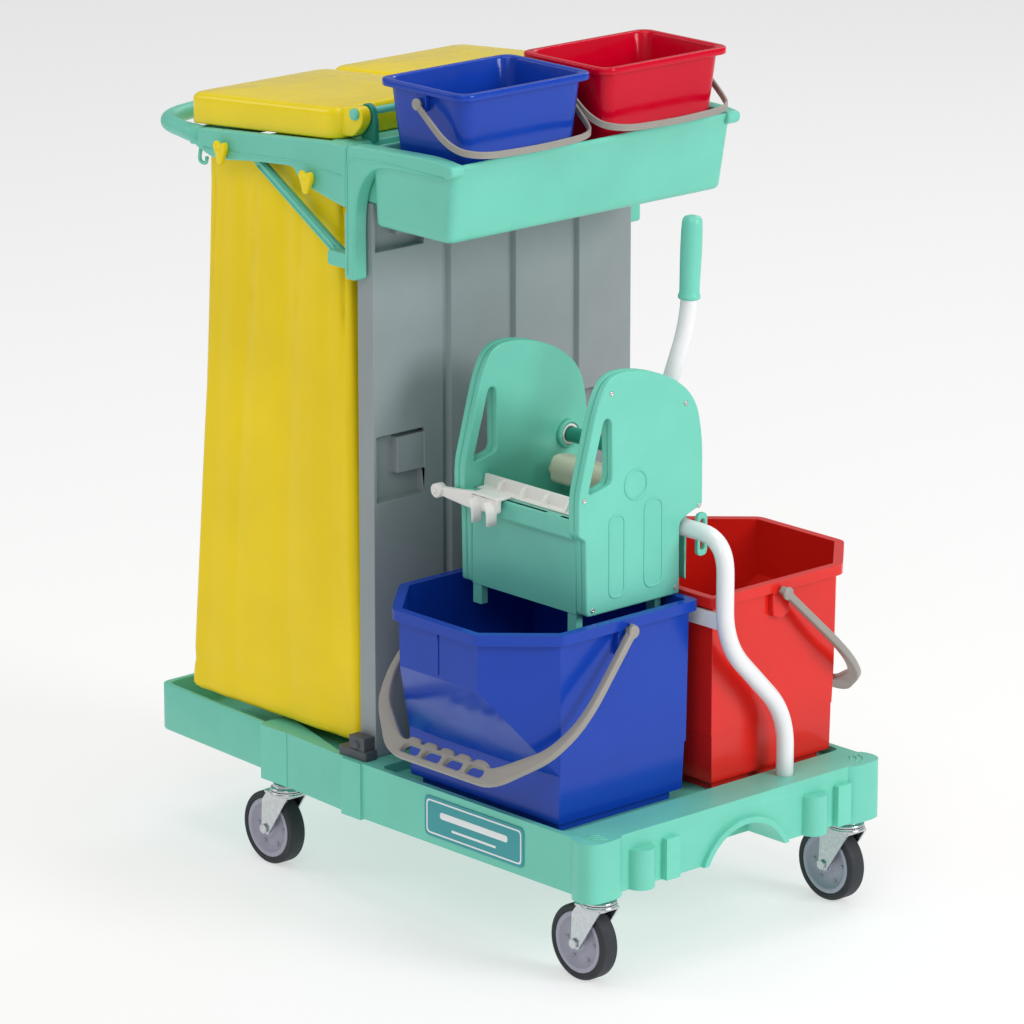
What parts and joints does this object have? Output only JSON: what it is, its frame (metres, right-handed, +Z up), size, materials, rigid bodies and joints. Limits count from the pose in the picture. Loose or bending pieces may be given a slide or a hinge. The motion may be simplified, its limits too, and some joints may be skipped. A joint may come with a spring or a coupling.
{
  "type": "housekeeping cart",
  "caption": "Wheeled housekeeping cart with a moulded base, upright panel, top tray with small buckets, folding lidded bag frame, mop buckets and a lever wringer.",
  "frame": {"origin": "on the floor under the middle of the cart's bounding box", "axes": "+Z up, +X towards the bucket end, -Y is the labelled side with the blue bucket"},
  "size_m": [0.915, 0.644, 1.104],
  "materials": {
    "mint": "satin moulded",
    "dark_mint": "satin moulded",
    "yellow": "gloss moulded",
    "bag_film": "smooth coated sheet",
    "blue": "gloss moulded",
    "red": "gloss moulded",
    "small_red": "gloss moulded",
    "bail_grey": "satin moulded",
    "panel_grey": "fine matt grain",
    "foot_grey": "matt",
    "white_tube": "powder coat",
    "white_plastic": "satin moulded",
    "cream": "satin moulded",
    "teal_label": "satin label",
    "tyre": "matt rubber",
    "hub": "satin moulded",
    "zinc": "bright zinc"
  },
  "bodies": {
    "root": {"base_platform": "mint", "base_extension": "mint", "label_plate": "teal_label", "caster_head_front_right": "zinc", "caster_head_rear_right": "zinc", "caster_head_front_left": "zinc", "caster_head_rear_left": "zinc", "upright_panel": "panel_grey", "panel_foot_front": "foot_grey", "panel_foot_rear": "foot_grey", "top_tray": "mint", "support_tube": "white_tube", "large_bucket_blue": "blue", "bag_front": "bag_film", "bag_rear": "bag_film"},
    "caster_front_right": {"caster_fork_front_right": "zinc", "wheel_axle_front_right": "zinc"},
    "wheel_front_right": {"wheel_hub_front_right": "hub", "tyre_front_right": "tyre"},
    "caster_rear_right": {"caster_fork_rear_right": "zinc", "wheel_axle_rear_right": "zinc"},
    "wheel_rear_right": {"wheel_hub_rear_right": "hub", "tyre_rear_right": "tyre"},
    "caster_front_left": {"caster_fork_front_left": "zinc", "wheel_axle_front_left": "zinc"},
    "wheel_front_left": {"wheel_hub_front_left": "hub", "tyre_front_left": "tyre"},
    "caster_rear_left": {"caster_fork_rear_left": "zinc", "wheel_axle_rear_left": "zinc"},
    "wheel_rear_left": {"wheel_hub_rear_left": "hub", "tyre_rear_left": "tyre"},
    "bag_frame": {"bag_frame": "mint", "lid_hinge_rod": "mint"},
    "brace_front": {"brace_front": "mint"},
    "lid_front": {"lid_front": "yellow"},
    "knob_inner_front": {"bag_knob_inner_front": "yellow"},
    "knob_outer_front": {"bag_knob_outer_front": "yellow"},
    "brace_rear": {"brace_rear": "mint"},
    "lid_rear": {"lid_rear": "yellow"},
    "knob_inner_rear": {"bag_knob_inner_rear": "yellow"},
    "knob_outer_rear": {"bag_knob_outer_rear": "yellow"},
    "blue_bail": {"large_bail_blue": "bail_grey"},
    "red_bucket": {"large_bucket_red": "red"},
    "red_bail": {"large_bail_red": "bail_grey"},
    "small_blue": {"small_bucket_blue": "blue"},
    "small_blue_bail": {"small_bail_blue": "bail_grey"},
    "small_red": {"small_bucket_red": "small_red"},
    "small_red_bail": {"small_bail_red": "bail_grey"},
    "wringer": {"wringer_cover_near": "mint", "wringer_cover_far": "mint", "wringer_body": "mint", "press_plate_fixed": "white_plastic", "axle_bush_near": "white_plastic", "axle_bush_far": "white_plastic", "arm_clip": "white_plastic"},
    "lever": {"wringer_axle": "dark_mint", "lever_tube": "white_tube", "lever_grip": "mint"},
    "press_plate": {"press_plate_moving": "cream"}
  },
  "joints": [
    {"name": "swivel_front_right", "type": "hinge", "parent": "root", "child": "caster_front_right", "pos_m": [0.4185, -0.222, 0.108], "axis": [0, 0, 1], "continuous": true},
    {"name": "roll_front_right", "type": "hinge", "parent": "caster_front_right", "child": "wheel_front_right", "pos_m": [0.3915, -0.222, 0.05], "axis": [0, 1, 0], "continuous": true},
    {"name": "swivel_rear_right", "type": "hinge", "parent": "root", "child": "caster_rear_right", "pos_m": [0.4185, 0.222, 0.108], "axis": [0, 0, 1], "continuous": true},
    {"name": "roll_rear_right", "type": "hinge", "parent": "caster_rear_right", "child": "wheel_rear_right", "pos_m": [0.3915, 0.222, 0.05], "axis": [0, 1, 0], "continuous": true},
    {"name": "swivel_front_left", "type": "hinge", "parent": "root", "child": "caster_front_left", "pos_m": [-0.1855, -0.222, 0.108], "axis": [0, 0, 1], "continuous": true},
    {"name": "roll_front_left", "type": "hinge", "parent": "caster_front_left", "child": "wheel_front_left", "pos_m": [-0.2125, -0.222, 0.05], "axis": [0, 1, 0], "continuous": true},
    {"name": "swivel_rear_left", "type": "hinge", "parent": "root", "child": "caster_rear_left", "pos_m": [-0.1855, 0.222, 0.108], "axis": [0, 0, 1], "continuous": true},
    {"name": "roll_rear_left", "type": "hinge", "parent": "caster_rear_left", "child": "wheel_rear_left", "pos_m": [-0.2125, 0.222, 0.05], "axis": [0, 1, 0], "continuous": true},
    {"name": "frame_fold", "type": "hinge", "parent": "root", "child": "bag_frame", "pos_m": [-0.0298, 0, 0.937], "axis": [0, -1, 0], "range_deg": [0, 64], "deforming": ["bag_front", "bag_rear"]},
    {"name": "brace_fold_front", "type": "hinge", "parent": "root", "child": "brace_front", "pos_m": [-0.0515, -0.2325, 0.861], "axis": [0, -1, 0], "range_deg": [0, 100]},
    {"name": "lid_open_front", "type": "hinge", "parent": "bag_frame", "child": "lid_front", "pos_m": [-0.0305, 0, 1.048], "axis": [0, 1, 0], "range_deg": [0, 92]},
    {"name": "knob_inner_front_turn", "type": "hinge", "parent": "bag_frame", "child": "knob_inner_front", "pos_m": [-0.0895, -0.258, 0.957], "axis": [0, 1, 0], "range_deg": [0, 90]},
    {"name": "knob_outer_front_turn", "type": "hinge", "parent": "bag_frame", "child": "knob_outer_front", "pos_m": [-0.2595, -0.258, 0.968], "axis": [0, 1, 0], "range_deg": [0, 90]},
    {"name": "brace_fold_rear", "type": "hinge", "parent": "root", "child": "brace_rear", "pos_m": [-0.0515, 0.2325, 0.861], "axis": [0, -1, 0], "range_deg": [0, 100]},
    {"name": "lid_open_rear", "type": "hinge", "parent": "bag_frame", "child": "lid_rear", "pos_m": [-0.0305, 0, 1.048], "axis": [0, 1, 0], "range_deg": [0, 92]},
    {"name": "knob_inner_rear_turn", "type": "hinge", "parent": "bag_frame", "child": "knob_inner_rear", "pos_m": [-0.0895, 0.258, 0.957], "axis": [0, 1, 0], "range_deg": [0, 90]},
    {"name": "knob_outer_rear_turn", "type": "hinge", "parent": "bag_frame", "child": "knob_outer_rear", "pos_m": [-0.2595, 0.258, 0.968], "axis": [0, 1, 0], "range_deg": [0, 90]},
    {"name": "blue_bail_lift", "type": "hinge", "parent": "root", "child": "blue_bail", "pos_m": [0.2185, -0.131, 0.436], "axis": [-1, 0, 0], "range_deg": [0, 110]},
    {"name": "red_bucket_lift", "type": "slide", "parent": "root", "child": "red_bucket", "axis": [0, 0, 1], "range_m": [0, 0.055]},
    {"name": "red_bail_lift", "type": "hinge", "parent": "red_bucket", "child": "red_bail", "pos_m": [0.2305, 0.131, 0.436], "axis": [1, 0, 0], "range_deg": [0, 135]},
    {"name": "small_blue_lift", "type": "slide", "parent": "root", "child": "small_blue", "axis": [0, 0, 1], "range_m": [0, 0.2]},
    {"name": "small_blue_bail_lift", "type": "hinge", "parent": "small_blue", "child": "small_blue_bail", "pos_m": [0.0975, -0.121, 1.082], "axis": [0, -1, 0], "range_deg": [0, 120]},
    {"name": "small_red_lift", "type": "slide", "parent": "root", "child": "small_red", "axis": [0, 0, 1], "range_m": [0, 0.2]},
    {"name": "small_red_bail_lift", "type": "hinge", "parent": "small_red", "child": "small_red_bail", "pos_m": [0.0975, 0.121, 1.082], "axis": [0, -1, 0], "range_deg": [0, 120]},
    {"name": "wringer_lift", "type": "slide", "parent": "root", "child": "wringer", "axis": [0, 0, 1], "range_m": [0, 0.12]},
    {"name": "lever_pull", "type": "hinge", "parent": "wringer", "child": "lever", "pos_m": [0.2965, -0.004, 0.62], "axis": [1, 0, 0], "range_deg": [0, 80]},
    {"name": "plate_press", "type": "hinge", "parent": "wringer", "child": "press_plate", "pos_m": [0.2165, -0.004, 0.62], "axis": [1, 0, 0], "range_deg": [-26, 0]}
  ],
  "couplings": [
    {"joint": "brace_fold_front", "follows": "frame_fold", "ratio": 1.412},
    {"joint": "brace_fold_rear", "follows": "frame_fold", "ratio": 1.412},
    {"joint": "plate_press", "follows": "lever_pull", "ratio": -0.3}
  ]
}
